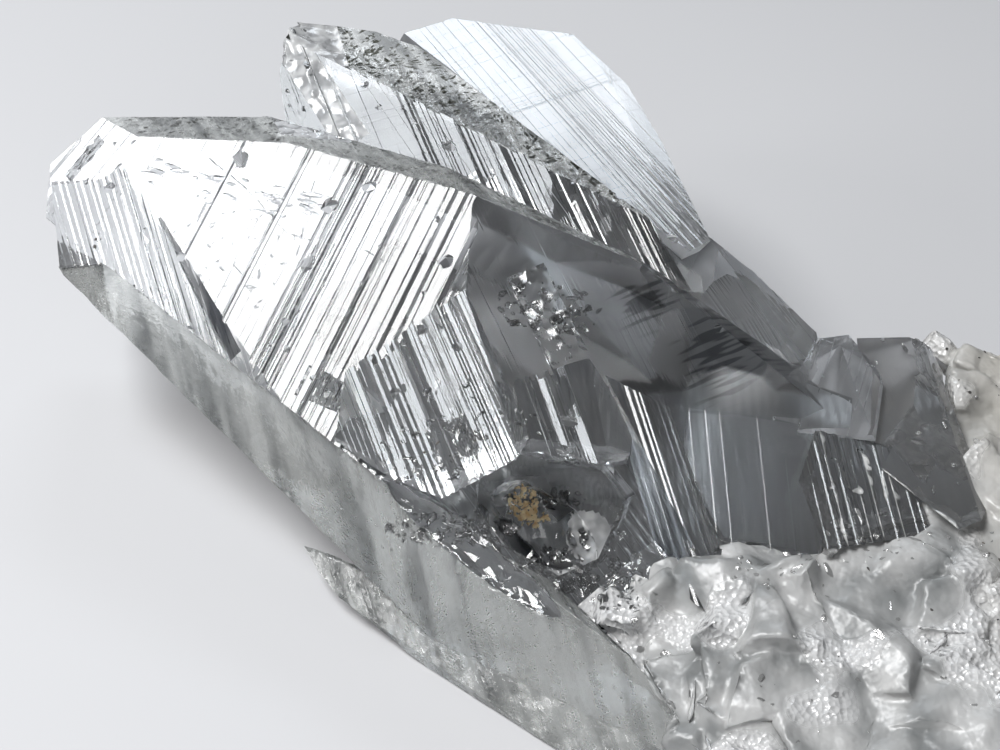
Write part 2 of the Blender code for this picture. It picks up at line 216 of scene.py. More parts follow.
def growth_lines(bands, rng, low, high):
    """Places across a face and heights there: flat terraces with steep narrow risers."""
    lines, level = [], 0.0
    for start, stop, gap, step, riser in bands:
        place = start
        while place > stop:
            place -= gap * rng.uniform(0.55, 1.5)
            if not low < place < high:
                continue
            rise = step * rng.uniform(0.5, 1.3) * (1 if level < 0 else -1)
            width = rng.uniform(0.7, 1.3) * riser
            lines.append((place, level))
            level = max(LOWEST, min(HIGHEST, level + rise))
            lines.append((place - width, level))
            level += rng.uniform(-0.22, 0.22) * step * min(gap, 1.0)
    return lines


TROUGH_EDGE = spot(0, -6.2, 0).y      # the smooth plane shows again south of this


def rule_facets(obj, rng):
    """Cuts every striated face along its growth lines and steps the strips."""
    facets = {name: Facet(*spec[:3]) for name, spec in FACETS.items()}
    names = list(facets)
    mesh = obj.data
    only(obj)
    bpy.ops.object.mode_set(mode="EDIT")
    bm = bmesh.from_edit_mesh(mesh)
    tag = bm.faces.layers.int.new("facet")
    for face in bm.faces:
        middle = face.calc_center_median()
        for number, name in enumerate(names):
            if name == "trough_floor" and middle.y > TROUGH_EDGE:
                continue
            if facets[name].holds(face.normal, middle):
                face[tag] = number + 1
    for number, name in enumerate(names):
        facet = facets[name]
        mine = [f for f in bm.faces if f[tag] == number + 1]
        if not mine:
            continue
        places = [facet.place(v.co)[0] for f in mine for v in f.verts]
        lines = growth_lines(FACETS[name][3], rng, min(places) + 0.1, max(places) - 0.1)
        for place, _ in lines:
            mine = slice_faces(bm, mine, facet.heart + facet.across * place * MM,
                               facet.across)
        heights = sorted(lines)
        moved = {v for f in mine for v in f.verts}
        for _ in range(3):
            moved |= {v for e in (e for m in moved for e in m.link_edges) for v in e.verts
                      if v not in moved and shallow(facet, v)}
        for v in moved:
            v.co += facet.normal * height_at(heights, facet.place(v.co)[0]) * MM
    bmesh.update_edit_mesh(mesh)
    bpy.ops.object.mode_set(mode="OBJECT")
    return facets


def shallow(facet, vert):
    """Whether a point lies in a mark that is hardly sunk in the face."""
    depth = (facet.level - facet.normal.dot(vert.co)) / MM
    return 0.01 < depth < 0.22 and not any(
        f.normal.dot(facet.normal) < 0.3 and f.calc_area() > MM * MM for f in vert.link_faces)


def height_at(heights, place):
    if not heights or place <= heights[0][0]:
        return heights[0][1] if heights else 0.0
    for (a, ha), (b, hb) in zip(heights, heights[1:]):
        if place <= b:
            return ha + (hb - ha) * (place - a) / max(b - a, 1e-9)
    return heights[-1][1]


CLEAR, FROSTED, MILKY, SAWN, BROKEN, UNDER, CRUSHED, STUMP = range(8)
# crushed places on clear faces: middle and half sizes along and across, in mm
CRUSHED_SPOTS = (
    ((4.2, 4.4, 23.4), (118, 22), (-80, 55), 4.6, 1.9),
    ((-15.4, -0.2, 18.4), (59.4, 34.1), (-108, 55), 1.5, 2.6),
    ((-4.3, -7.6, 18.6), (111.6, 17.8), (-124, 61), 2.0, 2.2),
    ((-40.6, 26.2, 26.4), (30, 30), (-158, 50), 2.6, 1.0),
    ((-18.5, 26.5, 29.7), (10, 0), (58, 71), 4.0, 3.0),
)
# the rough stump where the rear crystal snapped off
STUMP_SPOTS = (
    ((-20.2, 37.1, 31.4), (121.7, 19.2), (-112, 60), 12.0, 1.7),
    ((-19.0, 41.0, 31.9), (103, 0), (-13, 82), 6.0, 2.6),
)
# the rough brow over the main striated face
BROW = ((97, 77, 12.5), (58, 71, 11.5), (41, 62, 13.1))
# planes of the blade, the prow below it and the brow, whose faces are etched
ETCHED = (
    ((-19.0, 4.0, 5.5), (-125, 22, 6.5)), ((-19.0, 4.0, 5.5), (30, 61, 8.8)),
    ((-19.0, 4.0, 5.5), (-160, -30, 8.5)), ((-19.0, 4.0, 5.5), (-150, -43, 1.0)),
    ((2.0, -16.0, -3.5), (-126, 44, 7.0)), ((2.0, -16.0, -3.5), (-130, -5, 5.3)),
    ((2.0, -16.0, -3.5), (62, 23, 3.3)), ((2.0, -16.0, -3.5), (58, 22, 1.9)),
    ((2.0, -16.0, -3.5), (-55, -47, 13)), ((2.0, -16.0, -3.5), (-141, -47, 2.1)),
    *(((-16.5, 19.5, 19.0), face) for face in BROW), ((-5.0, 35.0, 22.5), (-13, 82, 7.4)),
)
# clear faces next to the root that stay flat
FLAT = (
    ((14.5, -4.0, 11.5), (-137, 31, 5.1)), ((32.5, -3.5, 9.5), (-4, 45, 6.1)),
    ((31.5, 7.0, 14.5), (174, 32, 4.2)), ((31.5, 7.0, 14.5), (8, 52, 3.9)),
    ((39.5, 4.5, 11.0), (-99, 78, 6.7)), ((39.5, 4.5, 11.0), (-6, 44, 4.6)),
    ((13.5, -9.5, 4.5), (-8, 47, 4.8)), ((25.0, -0.5, 9.5), (80, 39, 3.1)),
)
SNAPPED = (((-5.0, 35.0, 22.5), (166, -1, 17.3)), ((-5.0, 35.0, 22.5), (169, -12, 15.1)),
           ((-5.0, 35.0, 22.5), (177, -26, 12.1)))
# ovals of milky broken quartz, seen from above: middle, half sizes
ROOT_OVALS = (((31, -25), (21, 17)), ((48, -3), (9, 22)), ((24, -32), (17, 12)),
              ((13, -19), (6, 5)))
HOLLOW_MIDDLE = Vector((4.5, -10.0, 11.5))


def in_root(x, y):
    return any(((x - mx) / hx) ** 2 + ((y - my) / hy) ** 2 < 1
               for (mx, my), (hx, hy) in ROOT_OVALS)


def mark_zones(obj):
    """Tells the clear, etched, milky, sawn, broken and under faces apart."""
    etched = [plain(heart, face) for heart, face in ETCHED]
    flat = [plain(heart, face) for heart, face in FLAT]
    snapped = [plain(heart, face) for heart, face in SNAPPED]
    bm = bmesh.new()
    bm.from_mesh(obj.data)
    zone = bm.faces.layers.int.new("zone")
    facet = bm.faces.layers.int["facet"]
    for face in bm.faces:
        middle = face.calc_center_median()
        place = middle / MM + HOME
        if face.normal.z < -0.99 and middle.z < 0.0001:
            face[zone] = SAWN
        elif face[facet] or any(f.holds(face.normal, middle) for f in flat):
            face[zone] = CLEAR
        elif any(f.holds(face.normal, middle) for f in etched):
            face[zone] = FROSTED
        elif any(f.holds(face.normal, middle) for f in snapped):
            face[zone] = STUMP
        elif (place - HOLLOW_MIDDLE).length < 8.5 and place.z > 5 \
                or (place - Vector((-5.0, -7.5, 12.0))).length < 5.0:
            face[zone] = BROKEN
        elif in_root(place.x, place.y):
            face[zone] = MILKY
        elif face.normal.z < -0.15:
            face[zone] = UNDER
    spots = [(CRUSHED, *spec) for spec in CRUSHED_SPOTS] + [(STUMP, *s) for s in STUMP_SPOTS]
    for kind, middle, run, face, half_along, half_across in spots:
        plane = Facet(middle, (*face, 0.0), run)
        ring = [f for f in bm.faces if plane.holds(f.normal, f.calc_center_median(), 0.0006)]
        for way, half in ((plane.along, half_along), (plane.across, half_across)):
            for side in (-1, 1):
                ring = slice_faces(bm, ring, plane.heart + way * side * half * MM, way)
        for f in ring:
            across, along = plane.place(f.calc_center_median())
            if abs(along) < half_along and abs(across) < half_across:
                f[zone] = kind
    bm.to_mesh(obj.data)
    bm.free()


def halve_long_edges(obj, longest):
    """Splits the edges of each zone until none is longer than the zone allows, in mm."""
    only(obj)
    bpy.ops.object.mode_set(mode="EDIT")
    for _ in range(9):
        bpy.ops.mesh.select_mode(type="FACE")
        bpy.ops.mesh.select_all(action="DESELECT")
        bm = bmesh.from_edit_mesh(obj.data)
        zone = bm.faces.layers.int["zone"]
        for face in bm.faces:
            if len(face.verts) > 3 and face[zone] in longest:
                face.select_set(True)
        bmesh.update_edit_mesh(obj.data, loop_triangles=False, destructive=False)
        bpy.ops.mesh.quads_convert_to_tris(quad_method="SHORTEST_DIAGONAL",
                                           ngon_method="BEAUTY")
        bpy.ops.mesh.select_mode(type="EDGE")
        bpy.ops.mesh.select_all(action="DESELECT")
        bm = bmesh.from_edit_mesh(obj.data)
        zone = bm.faces.layers.int["zone"]
        limits = {kind: (length * MM) ** 2 for kind, length in longest.items()}
        found = 0
        for edge in bm.edges:
            limit = min((limits.get(f[zone], 1.0) for f in edge.link_faces), default=1.0)
            if limit < 1.0 and (edge.verts[0].co - edge.verts[1].co).length_squared > limit:
                edge.select_set(True)
                found += 1
        if not found:
            break
        bmesh.update_edit_mesh(obj.data, loop_triangles=False, destructive=False)
        bpy.ops.mesh.subdivide(number_cuts=1)
    bpy.ops.object.mode_set(mode="OBJECT")


def zone_group(obj, name, wanted):
    """A vertex group of the points that only faces of one zone meet."""
    mesh = obj.data
    zones = mesh.attributes["zone"].data
    inside, outside = set(), set()
    for poly in mesh.polygons:
        (inside if zones[poly.index].value == wanted else outside).update(poly.vertices)
    group = obj.vertex_groups.new(name=name)
    group.add(sorted(inside - outside), 1.0, "REPLACE")


def soften(obj, group, times):
    mod = obj.modifiers.new("soften", "SMOOTH")
    mod.vertex_group = group
    mod.factor = 0.5
    mod.iterations = times


def displace(obj, name, group, kind, size, strength, middle=0.5, **settings):
    texture = bpy.data.textures.new(name, kind)
    texture.noise_scale = size * MM
    for key, value in settings.items():
        setattr(texture, key, value)
    mod = obj.modifiers.new(name, "DISPLACE")
    mod.texture = texture
    mod.texture_coords = "LOCAL"
    mod.vertex_group = group
    mod.strength = strength * MM
    mod.mid_level = middle


def join(pieces):
    bpy.ops.object.select_all(action="DESELECT")
    for one in pieces:
        one.select_set(True)
    bpy.context.view_layer.objects.active = pieces[0]
    if len(pieces) > 1:
        bpy.ops.object.join()
    return bpy.context.object


def cut_away(obj, cutters):
    """Takes the joined cutters out of the glass."""
    cutter = join(cutters)
    mod = obj.modifiers.new("cut", "BOOLEAN")
    mod.operation = "DIFFERENCE"
    mod.solver = "EXACT"
    mod.use_self = len(cutters) > 1
    mod.object = cutter
    apply_modifiers(obj)
    bpy.data.objects.remove(cutter, do_unlink=True)


def shard(rng, place):
    """A sharp twelve-cornered splinter, laid by the matrix."""
    bpy.ops.mesh.primitive_ico_sphere_add(subdivisions=1, radius=1.0)
    made = bpy.context.object
    made.data.transform(place @ Matrix.Rotation(rng.uniform(0, ROUND), 4, "X"))
    return made


def edge_chips(obj, rng, count):
    """Small chips to be knocked off the sharp edges, most of them near the main tip."""
    bm = bmesh.new()
    bm.from_mesh(obj.data)
    edges = [e for e in bm.edges if len(e.link_faces) == 2 and e.calc_length() > 3.5 * MM
             and e.is_convex and e.calc_face_angle() > math.radians(25)
             and min(v.co.z for v in e.verts) > 5 * MM]
    edges.sort(key=lambda e: -e.calc_length())
    shares = [e.calc_length() * (3.0 if sum(v.co.x for v in e.verts) < TIP_SIDE else 1.0)
              for e in edges]
    spots, chips = [], []
    for _ in range(count):
        edge = rng.choices(edges, shares)[0]
        a, b = edge.verts[0].co, edge.verts[1].co
        out = (edge.link_faces[0].normal + edge.link_faces[1].normal).normalized()
        size = rng.uniform(0.25, 0.55) if rng.random() < 0.7 else rng.uniform(0.6, 1.2)
        at = a.lerp(b, rng.uniform(0.03, 0.97)) + out * size * rng.uniform(0.45, 0.8) * MM
        if all((at - other).length > (size + reach) * 1.5 * MM for other, reach in spots):
            spots.append((at.copy(), size))
    bm.free()
    for at, size in spots:
        turn = [Matrix.Rotation(rng.uniform(0, ROUND), 4, axis) for axis in "XYZ"]
        shape = Matrix.Diagonal((rng.uniform(1.0, 1.8), rng.uniform(0.7, 1.1),
                                 rng.uniform(0.7, 1.0), 1.0))
        chips.append(shard(rng, Matrix.Translation(at) @ turn[0] @ turn[1] @ turn[2] @ shape
                           @ Matrix.Scale(size * MM, 4)))
    return chips


def lay_mark(rng, facet, across, along, towards, half_long, half_wide, depth, sunk,
             tilt=0.0):
    """A long narrow shard lying in a face, to leave a groove or a smudge in it."""
    at = facet.heart + facet.normal * (facet.level - facet.normal.dot(facet.heart)) \
        + (facet.across * across + facet.along * along) * MM
    way = (facet.across * towards[0] + facet.along * towards[1]).normalized()
    axes = Matrix((way, facet.normal.cross(way), facet.normal)).transposed().to_4x4()
    return shard(rng, Matrix.Translation(at + facet.normal * (depth - sunk) * MM) @ axes
                 @ Matrix.Rotation(tilt, 4, "X")
                 @ Matrix.Diagonal((half_long * MM, half_wide * MM, depth * MM, 1.0)))


# cracks across the main striated face: half width and (across, along) corners in mm
CRACKS = (
    (0.085, ((11.4, 2.3), (7.6, 1.2), (3.7, -0.4), (0.3, -1.8), (-2.7, -1.5), (-7.0, -0.6),
             (-9.3, -0.9))),
    (0.20, ((-1.9, 3.0), (-2.2, -0.8), (-3.0, -3.4), (-3.6, -7.2), (-4.6, -11.3))),
    (0.10, ((0.6, 4.0), (-0.4, 0.2), (-1.2, -3.5))),
    (0.07, ((5.4, -5.6), (2.6, -7.0), (0.2, -6.6))),
    (0.07, ((3.4, 0.0), (4.6, -3.2), (3.9, -6.6))),
    (0.08, ((-7.0, 2.6), (-8.6, 0.4), (-9.0, -2.6))),
)
TIP_SIDE = -0.040


def face_marks(rng):
    """Cracks and flat smudges on the main striated face."""
    facet = Facet(*FACETS["main_striated"][:3])
    marks = []
    for half, corners in CRACKS:
        for (a0, b0), (a1, b1) in zip(corners, corners[1:]):
            length = math.hypot(a1 - a0, b1 - b0)
            pieces = max(1, round(length / 1.5))
            for k in range(pieces):
                mid = (k + 0.5) / pieces
                wide = half * rng.uniform(0.6, 1.3)
                marks.append(lay_mark(
                    rng, facet, a0 + (a1 - a0) * mid + rng.uniform(-0.08, 0.08),
                    b0 + (b1 - b0) * mid + rng.uniform(-0.08, 0.08),
                    (a1 - a0 + rng.uniform(-0.1, 0.1) * length,
                     b1 - b0 + rng.uniform(-0.1, 0.1) * length),
                    length / pieces * 0.62, wide, wide * 1.4, wide * 1.2))
    for _ in range(34):
        across = rng.uniform(-2.0, 16.5)
        along = 2.6 - 0.14 * across - 2.8 * rng.random() ** 1.4
        half = rng.uniform(0.35, 1.5)
        marks.append(lay_mark(rng, facet, across, along, (1.0, rng.uniform(-0.3, 0.1)), half,
                              0.12 + half * rng.uniform(0.12, 0.25), 0.14,
                              rng.uniform(0.06, 0.11), rng.choice((-0.3, 0.3))))
    for _ in range(40):
        across, along = rng.uniform(-0.5, 11.5), rng.uniform(-9.5, -1.0)
        half = rng.uniform(0.15, 0.6)
        marks.append(lay_mark(rng, facet, across, along, (rng.uniform(0.2, 1), rng.uniform(-1, 1)),
                              half, 0.08 + half * rng.uniform(0.1, 0.35), 0.12,
                              rng.uniform(0.06, 0.09), rng.choice((-0.35, 0.35))))
    return marks


def scoop_hollow(obj, middle, radii, turn, rng):
    """Breaks a deeper, shell-shaped hollow out of the glass."""
    bpy.ops.object.select_all(action="DESELECT")
    bpy.ops.mesh.primitive_ico_sphere_add(subdivisions=2, radius=1.0)
    cutter = bpy.context.object
    for vert in cutter.data.vertices:
        vert.co *= rng.uniform(0.80, 1.16)
    cutter.data.transform(Matrix.Translation(spot(*middle)) @ Matrix.Rotation(
        math.radians(turn), 4, "Z") @ Matrix.Diagonal((*[r * MM for r in radii], 1.0)))
    cut_away(obj, [cutter])


# the west side of that sunk face, from the tip down, and how far it goes on, in mm
BEVEL_SIDE = ((-32.0, 16.3, 25.9), (-25.9, 6.6, 19.6))


def sink_bevel(obj):
    """Cuts the narrow sunk face between the main striated face and its flank."""
    facet = Facet(*FACETS["main_bevel"][:3])
    top, low = (spot(*corner) for corner in BEVEL_SIDE)
    down = (low - top).normalized()
    down = (down - facet.normal * down.dot(facet.normal)).normalized()
    right = down.cross(facet.normal)
    if right.x < 0:
        right = -right
    length, width = (low - top).length + 3.0 * MM, 5.0 * MM
    middle = top + down * length / 2 + right * width / 2
    middle += facet.normal * (facet.level - facet.normal.dot(middle) + MM)
    bpy.ops.object.select_all(action="DESELECT")
    bpy.ops.mesh.primitive_cube_add(size=2.0)
    cutter = bpy.context.object
    axes = Matrix((right, down, facet.normal)).transposed().to_4x4()
    cutter.data.transform(Matrix.Translation(middle) @ axes
                          @ Matrix.Diagonal((width / 2, length / 2, MM, 1.0)))
    if axes.determinant() < 0:
        cutter.data.flip_normals()
    cut_away(obj, [cutter])


BLADE_GRAIN = (112.9, 36.8)


def map_growth(obj, facets):
    """A UV map in mm: across and along the growth lines of each face."""
    mesh = obj.data
    count = len(mesh.polygons)
    normals, tags = np.zeros(count * 3, np.float32), np.zeros(count, np.int32)
    mesh.polygons.foreach_get("normal", normals)
    mesh.attributes["facet"].data.foreach_get("value", tags)
    smooth, totals = np.zeros(count, bool), np.zeros(count, np.int32)
    mesh.polygons.foreach_get("use_smooth", smooth)
    mesh.polygons.foreach_get("loop_total", totals)
    normals = normals.reshape(-1, 3)
    grain = np.array(facing(*BLADE_GRAIN))
    along = grain - normals * (normals @ grain)[:, None]
    along /= np.maximum(np.linalg.norm(along, axis=1), 0.05)[:, None]
    across = np.cross(normals, along)
    across[smooth] = facing(22.9, 0)
    heart = np.zeros((count, 3))
    for number, name in enumerate(FACETS):
        mine = tags == number + 1
        facet = facets[name]
        across[mine], along[mine], heart[mine] = facet.across, facet.along, facet.heart
    points, corners = np.zeros(len(mesh.vertices) * 3), np.zeros(len(mesh.loops), np.int32)
    mesh.vertices.foreach_get("co", points)
    mesh.loops.foreach_get("vertex_index", corners)
    owner = np.repeat(np.arange(count), totals)
    away = (points.reshape(-1, 3)[corners] - heart[owner]) / MM
    places = np.stack(((away * across[owner]).sum(1), (away * along[owner]).sum(1)), 1)
    layer = mesh.uv_layers.new(name="growth")
    layer.data.foreach_set("uv", places.astype(np.float32).ravel())


# painted shade on a face, from 0 to 1: clear faces darkened where they look dark grey
PAINTED_SHADE = {"main_striated": 0.3, "rear_striated": 0.75, "step_striated": 0.45,
         "half_striated": 0.3, "main_smooth": 0.62, "ridge_smooth": 0.45,
         "well_floor": 0.40, "main_bevel": 0.9, "trough_floor": 0.3}
# least roughness of a face, and of all that faces down
UNDER_DULL = 0.28
DULL = {"main_smooth": 0.14, "well_floor": 0.22, "ridge_smooth": 0.12}
# bruised white places in the hollow, white also as a painted highlight where the scallop glints:
# middle and reach in mm
BRUISES_AND_PAINTED_GLINT = (((7.6, -9.6, 9.2), 2.6), ((6.2, -15.8, 9.3), 2.6))
# whole planes given painted shade, with its share: the rear crystal's narrow face, a face by the
# ridge and the brow
SHADED_PLANES = (((-5.0, 35.0, 22.5), (-13, 82, 7.4), 2.0),
                ((14.5, -4.0, 11.5), (-137, 31, 5.1), 0.85),
                *(((-16.5, 19.5, 19.0), face, 0.75) for face in BROW))


def paint_shade_on_faces(obj):
    """Painted shade on the faces where the clear crystals look dark grey, as a tint from 0 to 1.
    """
    mesh = obj.data
    names = list(FACETS)
    tags = [d.value for d in mesh.attributes["facet"].data]
    planes = [(plain(heart, face), share) for heart, face, share in SHADED_PLANES]
    zones = [d.value for d in mesh.attributes["zone"].data]
    for name in ("painted_shade", "dull"):
        mesh.attributes.new(name, "FLOAT", "FACE")
    painted_shade, dull = mesh.attributes["painted_shade"], mesh.attributes["dull"]
    for poly in mesh.polygons:
        under = zones[poly.index] == UNDER or poly.normal.z < -0.15
        dull.data[poly.index].value = UNDER_DULL if under else 0.0
        share = 0.0
        if tags[poly.index]:
            name = names[tags[poly.index] - 1]
            share = PAINTED_SHADE.get(name, 0.0)
            dull.data[poly.index].value = max(DULL.get(name, 0.0), UNDER_DULL if under else 0.0)
        place = poly.center / MM + HOME
        # painted shade inside the hollow, darkest at its middle
        if zones[poly.index] == BROKEN:
            share = 0.97 * max(0.0, min(1.0, 2.1 - (place - HOLLOW_MIDDLE).length / 3.0))
        for plane, much in planes:
            if plane.holds(poly.normal, poly.center):
                share = much
        painted_shade.data[poly.index].value = share


crystals = loose_copy(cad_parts["quartz_cluster"], "quartz_crystals")
merge_flat(crystals)
sink_bevel(crystals)
cut_away(crystals, edge_chips(crystals, random.Random(5), 260) + face_marks(random.Random(6)))
scoop_hollow(crystals, (4.6, -9.4, 10.2), (4.6, 2.9, 3.6), -38, random.Random(2))
scoop_hollow(crystals, (1.2, -7.6, 12.2), (2.2, 1.6, 1.8), 10, random.Random(7))
facets = rule_facets(crystals, random.Random(12))
mark_zones(crystals)
halve_long_edges(crystals, {MILKY: 0.9, FROSTED: 0.7, BROKEN: 0.55, CRUSHED: 0.32,
                            STUMP: 0.45})
for label, kind in (("root", MILKY), ("blade", FROSTED), ("broken", BROKEN),
                    ("crushed", CRUSHED), ("stump", STUMP)):
    zone_group(crystals, label, kind)
soften(crystals, "root", 2)
displace(crystals, "root_hollows", "root", "VORONOI", 4.2, 0.8, 0.45,
         distance_metric="DISTANCE_SQUARED")
displace(crystals, "root_swell", "root", "CLOUDS", 2.2, 0.6)
displace(crystals, "etched_waves", "blade", "CLOUDS", 4.0, 0.30)
displace(crystals, "etched_pits", "blade", "CLOUDS", 0.9, 0.10)
displace(crystals, "broken_hollows", "broken", "VORONOI", 3.0, 0.8, 0.45,
         distance_metric="DISTANCE_SQUARED")
displace(crystals, "crushed_chips", "crushed", "VORONOI", 1.6, 0.65, 0.6,
         distance_metric="DISTANCE")
displace(crystals, "stump_hollows", "stump", "VORONOI", 2.6, 0.9, 0.45,
         distance_metric="DISTANCE_SQUARED")
apply_modifiers(crystals)
MATERIAL_OF = {CLEAR: 0, FROSTED: 1, MILKY: 2, SAWN: 3, BROKEN: 0, UNDER: 0, CRUSHED: 0,
               STUMP: 4}
for poly in crystals.data.polygons:
    z = crystals.data.attributes["zone"].data[poly.index].value
    poly.material_index = MATERIAL_OF[z]
    # white snapped quartz here is partly real broken quartz and partly a painted highlight for the
    # glint
    if z == BROKEN and any((poly.center / MM + HOME - Vector(middle)).length < reach
                           for middle, reach in BRUISES_AND_PAINTED_GLINT):
        poly.material_index = MATERIAL_OF[STUMP]
    poly.use_smooth = z in (FROSTED, MILKY, BROKEN, STUMP)
only(crystals)
map_growth(crystals, facets)
paint_shade_on_faces(crystals)


# ---------------------------------------------------------------- materials
def group(name, inputs, outputs):
    """A shader node group with its inputs (name, value) and outputs (name, kind)."""
    tree = bpy.data.node_groups.new(name, "ShaderNodeTree")
    for label, value in inputs:
        item = tree.interface.new_socket(label, in_out="INPUT", socket_type="NodeSocketFloat")
        item.default_value = value
    for label, kind in outputs:
        tree.interface.new_socket(label, in_out="OUTPUT", socket_type=kind)
    return tree, tree.nodes.new("NodeGroupInput"), tree.nodes.new("NodeGroupOutput")


def node(tree, kind, **settings):
    """A node, with its properties and the values or links of its inputs."""
    made = tree.nodes.new(kind)
    for key, value in settings.items():
        if key.startswith("in_"):
            key = key[3:]
            socket = made.inputs[int(key) if key.isdigit() else key.replace("_", " ")]
            if isinstance(value, bpy.types.NodeSocket):
                tree.links.new(value, socket)
            else:
                socket.default_value = value
        else:
            setattr(made, key, value)
    return made


def math_node(tree, operation, a, b=0.0, clamp=False):
    return node(tree, "ShaderNodeMath", operation=operation, use_clamp=clamp,
                in_0=a, in_1=b).outputs[0]


def make_growth_lines():
    """Fine growth lines that start and stop along a face, in Height from 0 to 1."""
    tree, given, out = group("growth_lines", (("Lines per mm", 2.0),),
                             (("Height", "NodeSocketFloat"),))
    where = node(tree, "ShaderNodeUVMap", uv_map="growth").outputs[0]
    split = node(tree, "ShaderNodeSeparateXYZ", in_0=where)
    across = math_node(tree, "MULTIPLY", split.outputs[0], given.outputs["Lines per mm"])
    along = math_node(tree, "MULTIPLY", split.outputs[1], 0.05)
    place = node(tree, "ShaderNodeCombineXYZ", in_0=across, in_1=along).outputs[0]
    lines = node(tree, "ShaderNodeTexNoise", noise_dimensions="2D", in_Vector=place,
                 in_Scale=1.0, in_Detail=1.0).outputs["Fac"]
    crisp = node(tree, "ShaderNodeMapRange", in_0=lines, in_1=0.46, in_2=0.60).outputs[0]
    broad = node(tree, "ShaderNodeTexNoise", noise_dimensions="2D", in_Vector=where,
                 in_Scale=0.2, in_Detail=0.0).outputs["Fac"]
    height = math_node(tree, "MULTIPLY", crisp,
                       node(tree, "ShaderNodeMapRange", in_0=broad, in_1=0.42, in_2=0.62
                            ).outputs[0])
    tree.links.new(height, out.inputs["Height"])
    return tree


GROWTH = make_growth_lines()


def use(tree, shared, **values):
    made = tree.nodes.new("ShaderNodeGroup")
    made.node_tree = shared
    for label, value in values.items():
        made.inputs[label.replace("_", " ")].default_value = value
    return made.outputs


def bump(tree, height, distance):
    return node(tree, "ShaderNodeBump", in_Height=height, in_Strength=1.0,
                in_Distance=distance * MM).outputs[0]


def weigh(tree, *pairs):
    """The sum of several heights, each times its depth."""
    total = None
    for height, depth in pairs:
        part = math_node(tree, "MULTIPLY", height, depth)
        total = part if total is None else math_node(tree, "ADD", total, part)
    return total


QUARTZ_IOR = 1.544


def quartz(name, transmission):
    mat = bpy.data.materials.new(name)
    mat.use_nodes = True
    shader = mat.node_tree.nodes["Principled BSDF"]
    shader.inputs["IOR"].default_value = QUARTZ_IOR
    shader.inputs["Transmission Weight"].default_value = transmission
    return mat, mat.node_tree, shader


def noise_in_mm(tree, size, detail=1.0):
    where = node(tree, "ShaderNodeTexCoord").outputs["Object"]
    return node(tree, "ShaderNodeTexNoise", in_Vector=where, in_Scale=1000.0 / size,
                in_Detail=detail).outputs["Fac"]


def mix_colour(tree, share, first, second):
    made = node(tree, "ShaderNodeMix", data_type="RGBA", in_0=share)
    for socket, colour in ((made.inputs[6], first), (made.inputs[7], second)):
        if isinstance(colour, bpy.types.NodeSocket):
            tree.links.new(colour, socket)
        else:
            socket.default_value = (*colour, 1)
    return made.outputs[2]


def ramp(tree, value, low, high, start=0.0, end=1.0):
    return node(tree, "ShaderNodeMapRange", in_0=value, in_1=low, in_2=high, in_3=start,
                in_4=end).outputs[0]


def matte_windows(tree):
    """Dull patches drawn out along the growth lines, as a share from 0 to 1."""
    where = node(tree, "ShaderNodeUVMap", uv_map="growth").outputs[0]
    drawn = node(tree, "ShaderNodeMapping", in_0=where, in_3=(0.50, 0.22, 1.0)).outputs[0]
    patch = node(tree, "ShaderNodeTexNoise", noise_dimensions="2D", in_Vector=drawn,
                 in_Scale=1.0, in_Detail=2.0).outputs["Fac"]
    return ramp(tree, patch, 0.60, 0.66)


# painted shade as soft dark blurs on the smooth east face: middle and reach in mm
PAINTED_BLURS = (((19.4, 2.4, 19.9), 6.0), ((13.0, 6.4, 23.6), 4.4))


def clear_quartz():
    mat, tree, shader = quartz("clear_quartz", 0.94)
    lines = use(tree, GROWTH, Lines_per_mm=3.0)
    # painted shade from the faces and the blurs darkens the base colour
    painted_shade = node(tree, "ShaderNodeAttribute", attribute_name="painted_shade").outputs["Fac"]
    smear = noise_in_mm(tree, 7.0)
    drawn = node(tree, "ShaderNodeMapping", in_3=(0.25, 2.2, 1.0),
                 in_0=node(tree, "ShaderNodeUVMap", uv_map="growth").outputs[0]).outputs[0]
    hatch = node(tree, "ShaderNodeTexNoise", noise_dimensions="2D", in_Vector=drawn,
                 in_Scale=1.0, in_Detail=0.0).outputs["Fac"]
    clean = mix_colour(tree, smear, (0.96, 0.97, 0.98), (0.86, 0.88, 0.90))
    painted_shade = math_node(tree, "MULTIPLY", painted_shade, ramp(tree, smear, 0.3, 0.7, 1.15, 0.8),
                      clamp=True)
    where = node(tree, "ShaderNodeTexCoord").outputs["Object"]
    for middle, reach in PAINTED_BLURS:
        away = node(tree, "ShaderNodeVectorMath", operation="DISTANCE", in_0=where,
                    in_1=spot(*middle)).outputs["Value"]
        ragged = ramp(tree, hatch, 0.3, 0.7, -0.45 * reach * MM, 0.45 * reach * MM)
        away = math_node(tree, "ADD", away, ragged)
        blur = ramp(tree, away, 0.15 * reach * MM, reach * MM, 0.93, 0.0)
        painted_shade = math_node(tree, "MAXIMUM", painted_shade, blur)
    tree.links.new(mix_colour(tree, painted_shade, clean, (0.02, 0.022, 0.025)),
                   shader.inputs["Base Color"])
    dull = node(tree, "ShaderNodeAttribute", attribute_name="dull").outputs["Fac"]
    window = matte_windows(tree)
    tree.links.new(math_node(tree, "MAXIMUM", ramp(tree, window, 0.0, 1.0, 0.01, 0.16), dull),
                   shader.inputs["Roughness"])
    tree.links.new(bump(tree, lines["Height"], 0.0045), shader.inputs["Normal"])
    return mat


